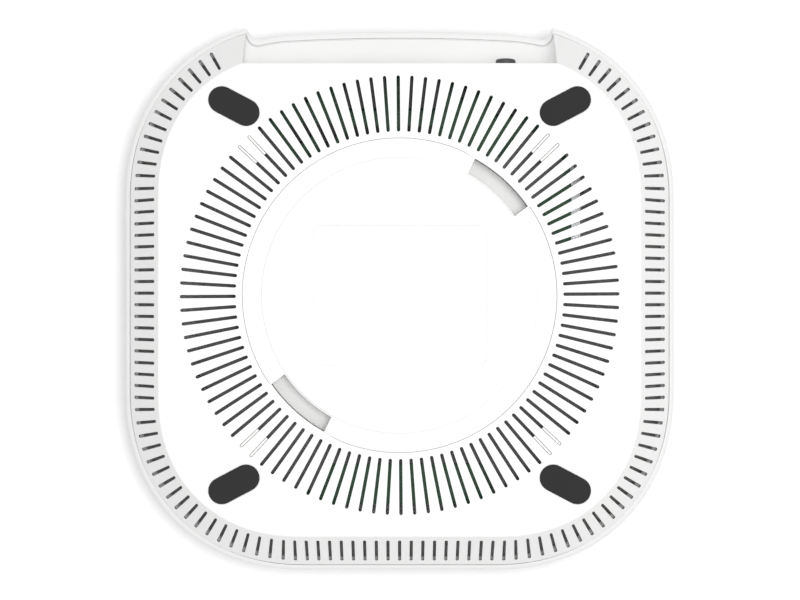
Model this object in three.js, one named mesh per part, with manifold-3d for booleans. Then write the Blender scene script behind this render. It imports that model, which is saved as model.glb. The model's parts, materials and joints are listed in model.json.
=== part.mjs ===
// Ceiling access point with a bayonet back, hung from the ceiling face at z = 0.
// Millimetres. +Z points up to the ceiling, +Y towards the port bay, -Z into the room.
// The origin is the centre of the ceiling face.
import * as THREE from "three";
import { mergeGeometries, mergeVertices } from "three/addons/utils/BufferGeometryUtils.js";
import Module from "manifold-3d";

const wasm = await Module();
wasm.setup();

// Case sizes.
const WALL = 2.5;
const GAP = 0.3;
const SEAM_Z = -30;
const PLATE = { half: 96.9, corner: 57.4, power: 2.21 };
const SEAM = { half: 110.7, corner: 71.1, power: 2.16 };
const CORNER_STEPS = 12;

// Front cover profile from the room face up to the seam: [half width, z].
const COVER_OUTSIDE = [
  [46, -52.0],
  [80, -51.2],
  [93.5, -49.6],
  [102.5, -46.8],
  [109.4, -42.8],
  [112.3, -38.4],
  [113.0, -34.4],
  [111.2, SEAM_Z - GAP],
];
const COVER_INSIDE = [
  [45, -49.8],
  [79.2, -49.0],
  [92.1, -47.6],
  [100.7, -45.1],
  [107.2, -41.5],
  [110.0, -37.9],
  [110.6, -34.4],
  [108.4, -29.0],
];
const COVER_CORNER_SHARE = 0.646;
const COVER_POWER = 2.14;

// Port bay on the +Y side.
const BAY_HALF = 63.3;
const BAY_FILLET = 5.3;
const BAY_FLAT = BAY_HALF - BAY_FILLET;
const BAY_WALL_Y = 93.2;
const BAY_FLOOR_Z = -24.5;
const BAY_FLOOR_RISE = 3.2;
const BAY_WALL = 2.2;
const BAY_REACH = 105.2;
const BAY_ARCH_RADIUS = 850;
const BAY_DIP = { from: 45, depth: 1.17 };
const COVER_SCOOP = 3.4;

// Vent ring: radial slots in the ceiling face.
const RING_SLOTS = 100;
const RING_TURN = 0.37;
const RING_INNER = 65.7;
const RING_OUTER = 88.3;
const RING_SLOT_WIDTH = 1.3;
const RING_BLIND_FROM = 78.3;
const BLIND_DEPTH = 0.5;
const BOSS_AT = 58.9;
const BOSS_RADIUS = 5;

// Skirt vents: upright slots walked round the half height outline.
const SKIRT_MIDDLE = { half: 103.2, corner: 63.6, power: 2.18 };
const SKIRT_SLOT_WIDTH = 1.3;
const SKIRT_SLOT_TOP = -4.1;
const SKIRT_SLOT_BOTTOM = -25.5;
const STRAIGHT_PITCH = 4.7;
const CORNER_PITCH = 5.11;

// Bayonet track and its two pockets.
const TRACK_INNER = 55.6;
const TRACK_OUTER = 63.3;
const TRACK_DEPTH = 0.5;
const POCKET = { inner: 56.0, outer: 62.8, from: 34.4, to: 61.1, depth: 9.6 };
const UNDERCUT_TO = 76;
const UNDERCUT_DEPTH = 6.5;

// Rating label.
const LABEL = { width: 69.3, height: 55.9, radius: 2.6, thickness: 0.2 };

// Rubber feet, each over a case screw.
const FOOT = { x: 66.5, y: 75.9, length: 21.6, width: 10.6, turn: 27.8, height: 1.5, sink: 1.2 };
const CASE_SCREW_SEAT = -21;

// Levels of the stack inside, each the top face of its layer.
const CHASSIS_TOP = -11.6;
const CHASSIS_THICK = 1.2;
const BOARD_TOP = -19.7;
const BOARD_THICK = 1.6;
const REFLECTOR_TOP = -26;
const REFLECTOR_THICK = 1.5;
const BOARD_BOTTOM = BOARD_TOP - BOARD_THICK;
const REFLECTOR_BOTTOM = REFLECTOR_TOP - REFLECTOR_THICK;

const LENS_AT = [0, 62];

// Ports along the bay wall.
const PORT_FRONT = BAY_WALL_Y - GAP;
const LAN = { width: 16.2, depth: 17.5, height: 12.8, socketWidth: 11.8, socketHeight: 8.3 };
const LAN_X = [-14, 8];
const DC_X = -40;
const RESET_X = 26;
const POWER_X = 43;
const PORT_Z = -13;

const corners = [
  [1, 1],
  [-1, 1],
  [-1, -1],
  [1, -1],
];

// ---- solids -------------------------------------------------------------------------------

function solid(geometry) {
  const bare = geometry.index ? geometry.toNonIndexed() : geometry.clone();
  bare.deleteAttribute("normal");
  bare.deleteAttribute("uv");
  const merged = mergeVertices(bare, 1e-4);
  const source = new wasm.Mesh({
    numProp: 3,
    vertProperties: new Float32Array(merged.attributes.position.array),
    triVerts: new Uint32Array(merged.index.array),
  });
  return new wasm.Manifold(source);
}

function geometryOf(body) {
  const source = body.getMesh();
  const geometry = new THREE.BufferGeometry();
  geometry.setAttribute("position", new THREE.BufferAttribute(source.vertProperties, 3));
  geometry.setIndex(new THREE.BufferAttribute(source.triVerts, 1));
  geometry.computeVertexNormals();
  return geometry;
}

function together(bodies) {
  return bodies.reduce((whole, body) => whole.add(body));
}

// A closed body through a stack of rings of equal length, capped at both ends by fans.
function loft(rings) {
  const count = rings[0].length;
  const points = rings.flat();
  const triangles = [];
  for (let level = 0; level + 1 < rings.length; level++) {
    for (let i = 0; i < count; i++) {
      const a = level * count + i;
      const b = level * count + ((i + 1) % count);
      triangles.push(a, b, b + count, a, b + count, a + count);
    }
  }
  const last = (rings.length - 1) * count;
  const middle = (ring) => [0, 1, 2].map((k) => ring.reduce((sum, p) => sum + p[k], 0) / count);
  points.push(middle(rings[0]), middle(rings[rings.length - 1]));
  for (let i = 0; i < count; i++) {
    const next = (i + 1) % count;
    triangles.push(points.length - 2, next, i);
    triangles.push(points.length - 1, last + i, last + next);
  }
  const geometry = new THREE.BufferGeometry();
  geometry.setAttribute("position", new THREE.Float32BufferAttribute(points.flat(), 3));
  geometry.setIndex(triangles);
  return solid(geometry);
}

// A square with soft corners: straight sides joined by superellipse quarters.
function outline({ half, corner, power }, z, inset = 0) {
  const start = half - corner;
  const radius = corner - inset;
  const ring = [];
  for (let quarter = 0; quarter < 4; quarter++) {
    for (let step = 0; step <= CORNER_STEPS; step++) {
      const angle = (Math.PI / 2) * (step / CORNER_STEPS);
      const u = start + radius * Math.max(0, Math.cos(angle)) ** (2 / power);
      const v = start + radius * Math.max(0, Math.sin(angle)) ** (2 / power);
      const [x, y] = [[u, v], [-v, u], [-u, -v], [v, -u]][quarter];
      ring.push([x, y, z]);
    }
  }
  return ring;
}

function box(width, depth, height, x, y, z) {
  return solid(new THREE.BoxGeometry(width, depth, height).translate(x, y, z));
}

// A box given by its two opposite corners.
function block(low, high) {
  const size = low.map((value, k) => high[k] - value);
  const middle = low.map((value, k) => (value + high[k]) / 2);
  return box(...size, ...middle);
}

function upright(radius, top, bottom, x, y, sides = 16) {
  const geometry = new THREE.CylinderGeometry(radius, radius, top - bottom, sides);
  return solid(geometry.rotateX(Math.PI / 2).translate(x, y, (top + bottom) / 2));
}

function alongY(radius, from, to, x, z, sides = 20) {
  const geometry = new THREE.CylinderGeometry(radius, radius, to - from, sides);
  return solid(geometry.translate(x, (from + to) / 2, z));
}

function extruded(shape, bottom, top, curveSegments = 4) {
  const options = { depth: top - bottom, bevelEnabled: false, curveSegments };
  return solid(new THREE.ExtrudeGeometry(shape, options).translate(0, 0, bottom));
}

function plateOf(points, top, thickness) {
  const shape = new THREE.Shape(points.map(([x, y]) => new THREE.Vector2(x, y)));
  return extruded(shape, top - thickness, top);
}

function roundedRectangle(width, height, radius) {
  const [x, y] = [width / 2, height / 2];
  const shape = new THREE.Shape();
  shape.moveTo(-x + radius, -y);
  shape.lineTo(x - radius, -y);
  shape.absarc(x - radius, -y + radius, radius, -Math.PI / 2, 0);
  shape.absarc(x - radius, y - radius, radius, 0, Math.PI / 2);
  shape.absarc(-x + radius, y - radius, radius, Math.PI / 2, Math.PI);
  shape.absarc(-x + radius, -y + radius, radius, Math.PI, Math.PI * 1.5);
  return shape;
}

// A piece of a ring between two radii and two angles in degrees.
function sector(inner, outer, from, to, bottom, top) {
  const [a, b] = [THREE.MathUtils.degToRad(from), THREE.MathUtils.degToRad(to)];
  const shape = new THREE.Shape();
  shape.absarc(0, 0, outer, a, b, false);
  shape.absarc(0, 0, inner, b, a, true);
  return extruded(shape, bottom, top, 6);
}

// ---- case ---------------------------------------------------------------------------------

// 0 along the flat of the bay floor, rising in a quarter circle to 1 at the cheek of the bay.
function filletShare(x) {
  const beyond = Math.min(1, Math.max(0, Math.abs(x) - BAY_FLAT) / BAY_FILLET);
  return 1 - Math.sqrt(1 - beyond ** 2);
}

// How far out the seam's outline reaches at that x.
function seamReach(x) {
  const { half, corner, power } = SEAM;
  const share = (Math.abs(x) - half + corner) / corner;
  return half - corner + corner * (1 - share ** power) ** (1 / power);
}

// How far out the bay floor meets the seam: a shallow arch that dips before the fillets.
function scoopEdge(x) {
  const dipAt = (Math.min(Math.abs(x), BAY_FLAT) - BAY_DIP.from) / (BAY_FLAT - BAY_DIP.from);
  const arch = (at) => BAY_REACH - at ** 2 / (2 * BAY_ARCH_RADIUS) - BAY_DIP.depth * Math.max(0, dipAt) ** 2;
  return arch(x) + (seamReach(BAY_HALF) - arch(BAY_HALF)) * filletShare(x);
}

function bayStations() {
  const right = [0, BAY_DIP.from / 2, BAY_DIP.from, (BAY_DIP.from + BAY_FLAT) / 2, BAY_FLAT];
  for (const turn of [30, 60, 90]) {
    right.push(BAY_FLAT + BAY_FILLET * Math.sin(THREE.MathUtils.degToRad(turn)));
  }
  const left = right.slice(1).map((x) => -x);
  return [...left.reverse(), ...right];
}

// The room cut out of the housing for the ports, grown by a wall thickness for the inside.
function bayRoom(grow) {
  const share = (BAY_HALF + grow) / BAY_HALF;
  const rings = bayStations().map((x) => {
    const edge = scoopEdge(x);
    const floor = BAY_FLOOR_Z - grow + BAY_FLOOR_RISE * filletShare(x);
    return [
      [x * share, BAY_WALL_Y - grow, 5],
      [x * share, BAY_WALL_Y - grow, 0],
      [x * share, BAY_WALL_Y - grow, floor],
      [x * share, edge, SEAM_Z - grow],
      [x * share, edge, SEAM_Z - grow - 2],
      [x * share, 128, SEAM_Z - grow - 2],
      [x * share, 128, 5],
    ];
  });
  return loft(rings);
}

// The same scoop carried on down the side of the front cover.
function scoopRoom(inset) {
  const rings = bayStations().map((x) => {
    const edge = scoopEdge(x) - inset;
    return [
      [x, edge + 0.5, -28],
      [x, edge + 0.5, SEAM_Z - GAP],
      [x, edge + COVER_SCOOP, SEAM_Z - 4],
      [x, edge + COVER_SCOOP, -60],
      [x, 130, -60],
      [x, 130, -28],
    ];
  });
  return loft(rings);
}

// The through slots, or the shallow outer ends of those that stop over a boss.
function ringSlots(shallow) {
  const cuts = [];
  for (let i = 0; i < RING_SLOTS; i++) {
    const degrees = (360 * i) / RING_SLOTS;
    const overBoss = Math.abs((degrees % 90) - 45) < 2;
    if (shallow && !overBoss) continue;
    const inner = shallow ? RING_BLIND_FROM : RING_INNER;
    const outer = overBoss && !shallow ? RING_BLIND_FROM : RING_OUTER;
    const depth = shallow ? BLIND_DEPTH : 4;
    const cut = new THREE.BoxGeometry(outer - inner, RING_SLOT_WIDTH, depth + 1);
    cut.translate((inner + outer) / 2, 0, (1 - depth) / 2);
    cuts.push(cut.rotateZ(THREE.MathUtils.degToRad(degrees + RING_TURN)));
  }
  return solid(mergeGeometries(cuts));
}

// Distances along half of the outline, from the middle of -Y round to the bay.
function skirtDistances() {
  const distances = [0];
  const advance = (count, pitch) => {
    for (let i = 0; i < count; i++) distances.push(distances[distances.length - 1] + pitch);
  };
  advance(10, STRAIGHT_PITCH);
  advance(17, CORNER_PITCH);
  advance(19, STRAIGHT_PITCH);
  advance(12, CORNER_PITCH);
  return distances;
}

function alongPath(path, distance) {
  let left = distance;
  for (let i = 0; i + 1 < path.length; i++) {
    const [[ax, ay], [bx, by]] = [path[i], path[i + 1]];
    const length = Math.hypot(bx - ax, by - ay);
    if (left <= length) {
      const share = left / length;
      const turn = Math.atan2(by - ay, bx - ax);
      return { x: ax + (bx - ax) * share, y: ay + (by - ay) * share, turn };
    }
    left -= length;
  }
  throw new Error("the slots run past the end of the outline");
}

// The slots are cut straight down, the way the mould opens, so each runs between two distances in plan.
function skirtSlots() {
  const ring = outline(SKIRT_MIDDLE, 0);
  const first = Math.round(ring.length * 0.75);
  const path = [[0, -SKIRT_MIDDLE.half]];
  for (let i = 0; i <= ring.length / 2; i++) path.push(ring[(first + i) % ring.length]);
  const lean = (SEAM.half - PLATE.half) / SEAM_Z;
  const inner = PLATE.half + lean * SKIRT_SLOT_TOP - SKIRT_MIDDLE.half;
  const outer = PLATE.half + lean * SKIRT_SLOT_BOTTOM - SKIRT_MIDDLE.half;
  const cuts = [];
  for (const distance of skirtDistances()) {
    const { x, y, turn } = alongPath(path, distance);
    for (const side of distance ? [1, -1] : [1]) {
      const cut = new THREE.BoxGeometry(SKIRT_SLOT_WIDTH, outer - inner, -SEAM_Z);
      cut.translate(0, -(inner + outer) / 2, (SEAM_Z - 1) / 2);
      cuts.push(cut.rotateZ(side * turn).translate(side * x, y, 0));
    }
  }
  return solid(mergeGeometries(cuts));
}

function footShape(grow) {
  const radius = FOOT.width / 2 + grow;
  const reach = (FOOT.length - FOOT.width) / 2;
  const shape = new THREE.Shape();
  shape.absarc(reach, 0, radius, -Math.PI / 2, Math.PI / 2);
  shape.absarc(-reach, 0, radius, Math.PI / 2, Math.PI * 1.5);
  return shape;
}

function footBody(sx, sy, grow, bottom, top) {
  const turn = sx * sy * FOOT.turn;
  const body = extruded(footShape(grow), bottom, top, 6);
  return body.rotate([0, 0, turn]).translate([sx * FOOT.x, sy * FOOT.y, 0]);
}

function makeHousing() {
  let body = loft([
    outline(SEAM, SEAM_Z),
    outline(PLATE, -0.6, -0.27),
    outline(PLATE, 0, 0.3),
  ]);
  const hollow = loft([outline(SEAM, SEAM_Z - 1, WALL - 0.46), outline(PLATE, -WALL, WALL - 1.15)]);
  body = body.subtract(hollow.subtract(bayRoom(BAY_WALL))).subtract(bayRoom(0));

  for (const [sx, sy] of corners) {
    const [x, y] = [sx * FOOT.x, sy * FOOT.y];
    body = body.add(upright(4.4, -2, SEAM_Z + 1.5, x, y));
    body = body.add(upright(BOSS_RADIUS, -2, CHASSIS_TOP + GAP, sx * BOSS_AT, sy * BOSS_AT));
    body = body.subtract(footBody(sx, sy, GAP, -FOOT.sink, 1));
    body = body.subtract(upright(3.4, 0, CASE_SCREW_SEAT, x, y));
    body = body.subtract(upright(1.8, 0, SEAM_Z - 5, x, y, 12));
    body = body.subtract(upright(1.5, -3.5, -12, sx * BOSS_AT, sy * BOSS_AT, 12));
  }
  for (const turn of [0, 180]) {
    const { inner, outer, from, to, depth } = POCKET;
    const cup = sector(inner - 1.5, outer + 1.5, from - 1.5, UNDERCUT_TO + 1.5, -UNDERCUT_DEPTH - 1.5, -2);
    const deepCup = sector(inner - 1.5, outer + 1.5, from - 1.5, to + 1.5, -depth - 1.5, -2);
    const mouth = sector(inner, outer, from, to, -depth, 1);
    const undercut = sector(inner, outer, to - 2, UNDERCUT_TO, -UNDERCUT_DEPTH, -WALL);
    const turned = (part) => part.rotate([0, 0, turn]);
    body = body.add(turned(cup)).add(turned(deepCup));
    body = body.subtract(turned(mouth)).subtract(turned(undercut));
  }
  const profile = [
    [TRACK_INNER, -TRACK_DEPTH],
    [TRACK_OUTER, -TRACK_DEPTH],
    [TRACK_OUTER, 1],
    [TRACK_INNER - 0.3, 1],
    [TRACK_INNER - 0.3, 0],
    [TRACK_INNER, -TRACK_DEPTH],
  ].map(([r, z]) => new THREE.Vector2(r, z));
  body = body.subtract(solid(new THREE.LatheGeometry(profile, 48).rotateX(Math.PI / 2)));
  const bed = roundedRectangle(LABEL.width + 2 * GAP, LABEL.height + 2 * GAP, LABEL.radius + GAP);
  body = body.subtract(extruded(bed, -LABEL.thickness - GAP, 1));

  const wall = [BAY_WALL_Y - BAY_WALL - 1, BAY_WALL_Y + 1];
  for (const x of LAN_X) {
    const half = [LAN.width / 2 + GAP, LAN.height / 2 + GAP];
    body = body.subtract(
      block([x - half[0], wall[0], PORT_Z - half[1]], [x + half[0], wall[1], PORT_Z + half[1]]),
    );
  }
  body = body.subtract(block([DC_X - 4.8, wall[0], BOARD_TOP], [DC_X + 4.8, wall[1], PORT_Z + 5.8]));
  body = body.subtract(alongY(1.5, ...wall, RESET_X, PORT_Z, 12));
  body = body.subtract(alongY(4.4, ...wall, POWER_X, PORT_Z, 20));
  return body.subtract(skirtSlots()).subtract(ringSlots(false)).subtract(ringSlots(true));
}

function makeLabel() {
  const film = roundedRectangle(LABEL.width, LABEL.height, LABEL.radius);
  const notch = new THREE.Shape();
  notch.moveTo(-1.2, -LABEL.height / 2 - 0.1);
  notch.lineTo(1.2, -LABEL.height / 2 - 0.1);
  notch.lineTo(0, -LABEL.height / 2 + 1.2);
  return extruded(film, -LABEL.thickness, 0).subtract(extruded(notch, -1, 1));
}

function coverRings(profile) {
  return profile.map(([half, z]) => {
    const corner = half * COVER_CORNER_SHARE;
    return outline({ half, corner, power: COVER_POWER }, z);
  });
}

function makeCover() {
  const inside = loft(coverRings(COVER_INSIDE)).subtract(scoopRoom(2.3));
  let body = loft(coverRings(COVER_OUTSIDE)).subtract(inside).subtract(scoopRoom(0));
  for (const [sx, sy] of corners) {
    const [x, y] = [sx * FOOT.x, sy * FOOT.y];
    body = body.add(upright(4.4, SEAM_Z + 1.2, -48.2, x, y));
    body = body.subtract(upright(1.6, SEAM_Z + 2, -40, x, y, 12));
  }
  // Locating tongues that stand inside the skirt.
  for (const side of [-1, 1]) {
    body = body.add(box(1.6, 26, 5.3, side * 105.4, 0, SEAM_Z - 0.35));
    body = body.add(box(4, 26, 2, side * 107.6, 0, SEAM_Z - 2));
  }
  body = body.add(box(26, 1.6, 5.3, 0, -105.4, SEAM_Z - 0.35));
  body = body.add(box(26, 4, 2, 0, -107.6, SEAM_Z - 2));
  return body.subtract(upright(2.3, -40, -60, ...LENS_AT, 16));
}

// ---- electronics --------------------------------------------------------------------------

const LED_BOTTOM = BOARD_BOTTOM - 1.2;

const BOARD_OUTLINE = [
  [-70, -50], [-64, -68], [-42, -85], [42, -85], [64, -68], [70, -50], [70, 50],
  [64, 68], [56, 78], [56, 90], [-56, 90], [-56, 78], [-64, 68], [-70, 50],
];
const CHASSIS_OUTLINE = [
  [-34, -79.4], [-30, -68], [34, -68], [38, -79.4], [52, -76], [70, -60], [79.4, -34], [79.4, 20],
  [66, 20], [56, 36], [68, 51], [60, 66], [50, 66], [42, 56], [-46, 56], [-52, 68],
  [-62, 66], [-74, 50], [-79.4, 30], [-79.4, -34], [-70, -60], [-52, -76],
];
const REFLECTOR_OUTLINE = [
  [-74, -60], [-60, -74], [60, -74], [74, -60], [74, 66], [66, 70], [-66, 70], [-74, 66],
];

function makeBoard() {
  let body = plateOf(BOARD_OUTLINE, BOARD_TOP, BOARD_THICK);
  for (const [sx, sy] of corners) {
    body = body.subtract(upright(2, 0, -40, sx * BOSS_AT, sy * BOSS_AT, 12));
  }
  return body;
}

function makeChassis() {
  let body = plateOf(CHASSIS_OUTLINE, CHASSIS_TOP, CHASSIS_THICK);
  for (const [sx, sy] of corners) {
    const [x, y] = [sx * BOSS_AT, sy * BOSS_AT];
    body = body.add(upright(3.6, CHASSIS_TOP - 0.5, BOARD_TOP + GAP, x, y, 12));
    body = body.subtract(upright(1.9, 0, -40, x, y, 12));
  }
  return body;
}

function makeReflector() {
  let body = plateOf(REFLECTOR_OUTLINE, REFLECTOR_TOP, REFLECTOR_THICK);
  for (const [sx, sy] of corners) {
    const [x, y] = [sx * BOSS_AT, sy * BOSS_AT];
    body = body.add(upright(3.6, BOARD_BOTTOM - GAP, REFLECTOR_TOP - 0.5, x, y, 12));
    body = body.subtract(upright(1.9, 0, -40, x, y, 12));
  }
  for (let i = -3; i <= 3; i++) {
    body = body.add(box(1.6, 60, 6, i * 9, -8, REFLECTOR_BOTTOM - 2.5));
  }
  return body.subtract(upright(3.4, 0, -40, ...LENS_AT, 16));
}

function screw(x, y, seat, tip, headRadius, shankRadius, headUp) {
  const headHeight = 2;
  const way = headUp ? 1 : -1;
  const [low, high] = [seat, seat + way * headHeight].sort((a, b) => a - b);
  let body = upright(headRadius, high, low, x, y, 12);
  const [from, to] = [tip, seat + way * 0.2].sort((a, b) => a - b);
  body = body.add(upright(shankRadius, to, from, x, y, 8));
  const recess = box(headRadius, 0.8, 1, x, y, seat + way * headHeight);
  const across = box(0.8, headRadius, 1, x, y, seat + way * headHeight);
  return body.subtract(recess).subtract(across);
}

function makeJack(x) {
  const [front, back] = [PORT_FRONT, PORT_FRONT - LAN.depth];
  const [low, high] = [PORT_Z - LAN.height / 2, PORT_Z + LAN.height / 2];
  let body = block([x - LAN.width / 2, back, low], [x + LAN.width / 2, front, high]);
  const half = LAN.socketWidth / 2;
  const top = PORT_Z + 4.6;
  body = body.subtract(block([x - half, front - 14, top - LAN.socketHeight], [x + half, front + 1, top]));
  body = body.subtract(block([x - 3.2, front - 12, low + 1.2], [x + 3.2, front + 1, PORT_Z]));
  return body;
}

// Eight spring contacts on one carrier, standing in the back of the socket.
function makeContacts(x) {
  const top = PORT_Z + 4.6 - GAP;
  const back = PORT_FRONT - 14 + GAP;
  let body = box(10.6, 1.2, 4, x, back + 0.6, top - 2);
  for (let i = 0; i < 8; i++) {
    const at = x + (i - 3.5) * 1.27;
    body = body.add(box(0.5, 8, 0.5, at, back + 4.5, top - 0.6));
  }
  return body;
}

function makeDcJack() {
  const [front, back] = [PORT_FRONT, PORT_FRONT - 14];
  let body = block([DC_X - 4.5, back, BOARD_TOP + GAP], [DC_X + 4.5, front, PORT_Z + 5.5]);
  body = body.subtract(alongY(3.1, front - 10, front + 1, DC_X, PORT_Z, 16));
  return body.add(alongY(1, front - 11, front - 1, DC_X, PORT_Z, 10));
}

function makePowerButton() {
  const front = BAY_WALL_Y + 2.9;
  const behind = BAY_WALL_Y - BAY_WALL - GAP;
  const cap = alongY(4.05, behind - 1, front - 0.5, POWER_X, PORT_Z, 24);
  const face = alongY(3.6, front - 1, front, POWER_X, PORT_Z, 24);
  const flange = alongY(5.2, behind - 2, behind, POWER_X, PORT_Z, 20);
  return together([cap, face, flange, alongY(1.5, 85, behind - 1, POWER_X, PORT_Z, 10)]);
}

function makePowerSwitch() {
  const body = block([POWER_X - 4, 73, BOARD_TOP + GAP], [POWER_X + 4, 83, PORT_Z + 4]);
  return body.subtract(alongY(1.9, 80, 84, POWER_X, PORT_Z, 12));
}

function makeResetButton() {
  const behind = BAY_WALL_Y - BAY_WALL - GAP;
  const pin = alongY(1.1, 86, BAY_WALL_Y - 0.9, RESET_X, PORT_Z, 12);
  return pin.add(alongY(2.4, behind - 1.5, behind, RESET_X, PORT_Z, 12));
}

function makeResetSwitch() {
  return block([RESET_X - 3, 80, BOARD_TOP + GAP], [RESET_X + 3, 85, PORT_Z + 3]);
}

// A shallow can soldered over the circuits it shields.
function makeShield(x, y, width, depth) {
  const high = BOARD_BOTTOM - GAP;
  const can = box(width, depth, 2.6, x, y, high - 1.3);
  return can.subtract(box(width - 0.8, depth - 0.8, 2.3, x, y, high - 1.15 + 0.2));
}

function makeAntenna(x, y, turn) {
  const foot = box(14, 8, 0.8, 0, 0, REFLECTOR_BOTTOM - GAP - 0.4);
  const upstand = box(26, 0.8, 12, 4, 3.6, REFLECTOR_BOTTOM - GAP - 6);
  const gap = box(10, 2, 5, 3, 3.6, REFLECTOR_BOTTOM - GAP - 7);
  const body = foot.add(upstand.subtract(gap));
  return body.rotate([0, 0, turn]).translate([x, y, 0]);
}

// ---- assembly -----------------------------------------------------------------------------

const root = new THREE.Group();
root.name = "ceiling_access_point";

function paint(color, roughness, metalness) {
  return { color, roughness, metalness };
}

const WHITE_SHELL = paint(0xf2f2f0, 0.5, 0);
const DARK_RUBBER = paint(0x353535, 0.85, 0);
const LABEL_FILM = paint(0xf6f6f6, 0.4, 0);
const GREEN_BOARD = paint(0x0f3f22, 0.45, 0);
const DARK_METAL = paint(0x3c3c3e, 0.5, 0.6);
const PALE_METAL = paint(0xb8babd, 0.35, 0.9);
const BLACK_PLASTIC = paint(0x1b1b1c, 0.5, 0);
const STEEL = paint(0x8d9094, 0.35, 0.9);
const GOLD = paint(0xc9a227, 0.3, 1);
const CLEAR = paint(0xdfe6ea, 0.15, 0);
const PINK_PAD = paint(0xb59aa0, 0.9, 0);

function addPiece(group, name, finish, body) {
  const mesh = new THREE.Mesh(geometryOf(body), new THREE.MeshStandardMaterial(finish));
  mesh.name = name;
  group.add(mesh);
}

function addGroup(name) {
  const group = new THREE.Group();
  group.name = name;
  root.add(group);
  return group;
}

const shell = addGroup("shell");
addPiece(shell, "rear_housing", WHITE_SHELL, makeHousing());
addPiece(shell, "front_cover", WHITE_SHELL, makeCover());
addPiece(shell, "rating_label", LABEL_FILM, makeLabel());
corners.forEach(([sx, sy], i) => {
  const [x, y] = [sx * FOOT.x, sy * FOOT.y];
  const foot = footBody(sx, sy, 0, -FOOT.sink + GAP, FOOT.height);
  addPiece(shell, `foot_${i + 1}`, DARK_RUBBER, foot);
  addPiece(shell, `case_screw_${i + 1}`, STEEL, screw(x, y, CASE_SCREW_SEAT + GAP, -38, 2.9, 1.3, true));
});

const stack = addGroup("electronics");
addPiece(stack, "chassis_plate", DARK_METAL, makeChassis());
addPiece(stack, "main_board", GREEN_BOARD, makeBoard());
addPiece(stack, "reflector_plate", PALE_METAL, makeReflector());
corners.forEach(([sx, sy], i) => {
  const place = [sx * BOSS_AT, sy * BOSS_AT];
  const body = screw(...place, REFLECTOR_BOTTOM - GAP, -5, 2.9, 1.2, false);
  addPiece(stack, `board_screw_${i + 1}`, STEEL, body);
});
const SHIELDS = [
  ["processor", -2, -12, 44, 40],
  ["radio_low", -44, 22, 30, 34],
  ["radio_high", 44, 22, 30, 34],
];
for (const [what, x, y, width, depth] of SHIELDS) {
  addPiece(stack, `shield_${what}`, PALE_METAL, makeShield(x, y, width, depth));
  const pad = box(width - 12, depth - 12, 0.9, x, y, BOARD_BOTTOM - GAP - 2.6 - GAP - 0.45);
  addPiece(stack, `thermal_pad_${what}`, PINK_PAD, pad);
}
const ANTENNAS = [
  [58, -44, 90],
  [-58, -44, -90],
  [44, 50, 0],
  [-44, 50, 0],
];
ANTENNAS.forEach(([x, y, turn], i) => {
  addPiece(stack, `antenna_${i + 1}`, PALE_METAL, makeAntenna(x, y, turn));
});
const led = box(3, 3, 0.9, ...LENS_AT, BOARD_BOTTOM - GAP - 0.45);
addPiece(stack, "status_led", CLEAR, led);
addPiece(stack, "light_pipe", CLEAR, upright(2, LED_BOTTOM - GAP, -51.6, ...LENS_AT, 16));

const ports = addGroup("ports");
LAN_X.forEach((x, i) => {
  addPiece(ports, `lan_jack_${i + 1}`, BLACK_PLASTIC, makeJack(x));
  addPiece(ports, `lan_contacts_${i + 1}`, GOLD, makeContacts(x));
  const transformer = box(14, 11, 6, x, 63, BOARD_TOP + GAP + 3);
  addPiece(ports, `lan_transformer_${i + 1}`, BLACK_PLASTIC, transformer);
});
addPiece(ports, "dc_jack", BLACK_PLASTIC, makeDcJack());
addPiece(ports, "capacitor_1", BLACK_PLASTIC, upright(4, -10.4, BOARD_TOP + GAP, -40, 66, 16));
addPiece(ports, "capacitor_2", BLACK_PLASTIC, upright(4, -10.4, BOARD_TOP + GAP, -30, 66, 16));
addPiece(ports, "power_switch", BLACK_PLASTIC, makePowerSwitch());
addPiece(ports, "power_button", BLACK_PLASTIC, makePowerButton());
addPiece(ports, "reset_switch", BLACK_PLASTIC, makeResetSwitch());
addPiece(ports, "reset_button", BLACK_PLASTIC, makeResetButton());

export default root;
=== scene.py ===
"""Ceiling access point, looked at from the ceiling side.

The shells, feet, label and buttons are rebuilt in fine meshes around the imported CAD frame. Shapes are
worked out in millimetres and scaled to metres at the end."""

import json
import math

import bmesh
import bpy
import numpy as np
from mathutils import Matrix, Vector
from mathutils.geometry import delaunay_2d_cdt


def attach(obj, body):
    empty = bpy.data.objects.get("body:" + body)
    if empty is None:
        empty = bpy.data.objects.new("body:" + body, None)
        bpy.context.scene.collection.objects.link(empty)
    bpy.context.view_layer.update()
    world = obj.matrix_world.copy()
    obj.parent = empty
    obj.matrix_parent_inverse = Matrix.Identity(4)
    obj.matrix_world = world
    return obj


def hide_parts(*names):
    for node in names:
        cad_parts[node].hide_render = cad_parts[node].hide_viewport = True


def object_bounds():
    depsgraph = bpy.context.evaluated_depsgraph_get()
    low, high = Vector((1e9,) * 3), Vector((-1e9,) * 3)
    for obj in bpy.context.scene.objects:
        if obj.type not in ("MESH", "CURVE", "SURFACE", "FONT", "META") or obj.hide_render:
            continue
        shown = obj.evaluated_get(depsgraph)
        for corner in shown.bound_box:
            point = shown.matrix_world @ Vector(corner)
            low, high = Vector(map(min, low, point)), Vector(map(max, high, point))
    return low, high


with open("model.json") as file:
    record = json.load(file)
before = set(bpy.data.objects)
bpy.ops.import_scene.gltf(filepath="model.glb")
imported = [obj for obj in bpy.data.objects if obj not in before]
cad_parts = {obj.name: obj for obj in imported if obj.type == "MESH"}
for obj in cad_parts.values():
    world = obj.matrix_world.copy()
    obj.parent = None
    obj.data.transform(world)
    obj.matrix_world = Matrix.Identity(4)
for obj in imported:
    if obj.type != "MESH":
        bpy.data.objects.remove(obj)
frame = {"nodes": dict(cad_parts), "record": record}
cad_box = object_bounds()

MM = 0.001

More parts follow.
